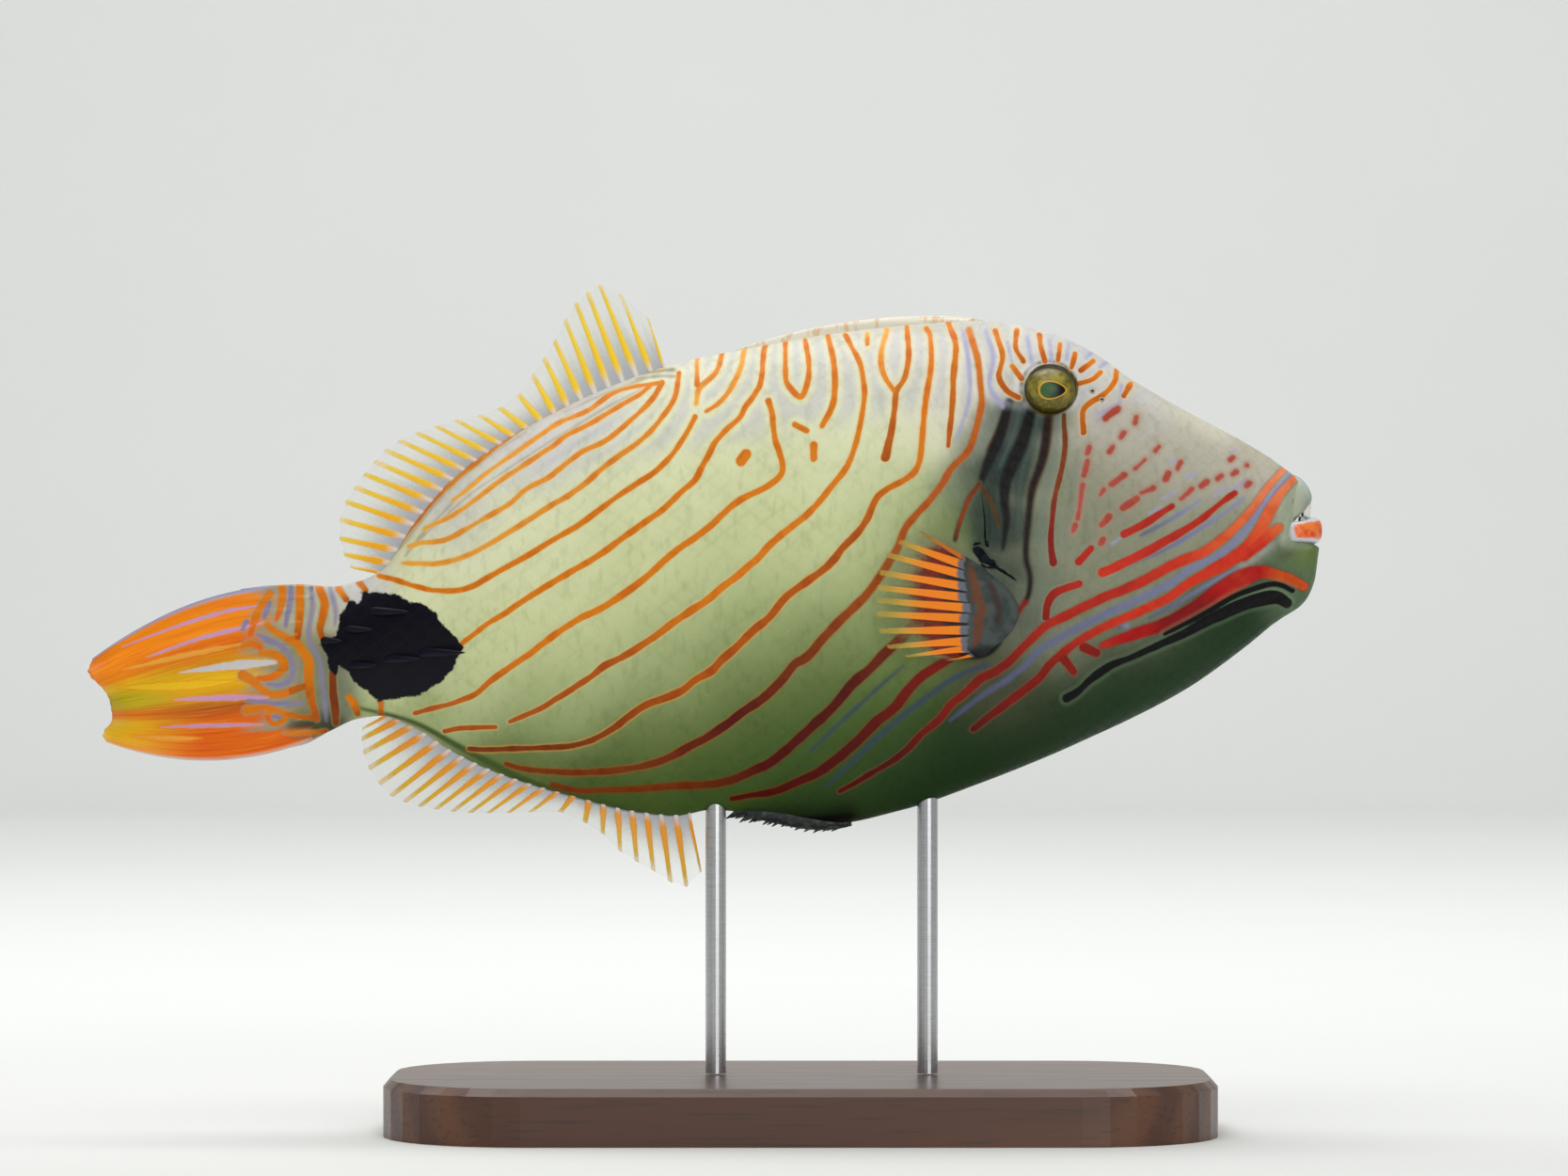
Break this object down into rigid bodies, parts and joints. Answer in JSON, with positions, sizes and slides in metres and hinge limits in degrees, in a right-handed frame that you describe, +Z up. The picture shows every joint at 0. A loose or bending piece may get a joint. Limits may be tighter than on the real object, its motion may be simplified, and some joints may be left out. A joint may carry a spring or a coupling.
{
  "type": "orange-lined triggerfish",
  "caption": "Life-size reef triggerfish on a display stand: deep oval body, long snout, rayed soft fins, folded first dorsal, hooked spines on the tail stalk.",
  "frame": {"origin": "centre of the stand's underside, on the surface it stands on", "axes": "+X towards the snout, +Y towards the fish's left side, +Z up; the fish's long axis is pitched about 7 degrees nose up"},
  "size_m": [0.2625, 0.084, 0.1802],
  "materials": {
    "skin": "satin, painted with lines",
    "tail_skin": "satin",
    "orange_fin": "satin, thin membrane between rays",
    "tail_fin": "satin",
    "dark_flap": "rough",
    "eye": "wet gloss",
    "upper_lip": "satin",
    "lower_lip": "satin",
    "teeth": "gloss",
    "base_wood": "satin lacquer",
    "rod_steel": "brushed"
  },
  "bodies": {
    "root": {"head": "skin", "trunk": "skin", "tail_stalk": "tail_skin", "soft_dorsal_fin": "orange_fin", "first_dorsal_fin": "skin", "anal_fin": "orange_fin", "caudal_fin": "tail_fin", "pectoral_fin_right": "orange_fin", "pectoral_fin_left": "orange_fin", "pelvic_flap": "dark_flap", "eye_right": "eye", "eye_left": "eye", "upper_lip": "upper_lip", "lower_lip": "lower_lip", "upper_teeth": "teeth", "lower_teeth": "teeth", "stand_base": "base_wood", "stand_rod_front": "rod_steel", "stand_rod_rear": "rod_steel"}
  },
  "joints": []
}
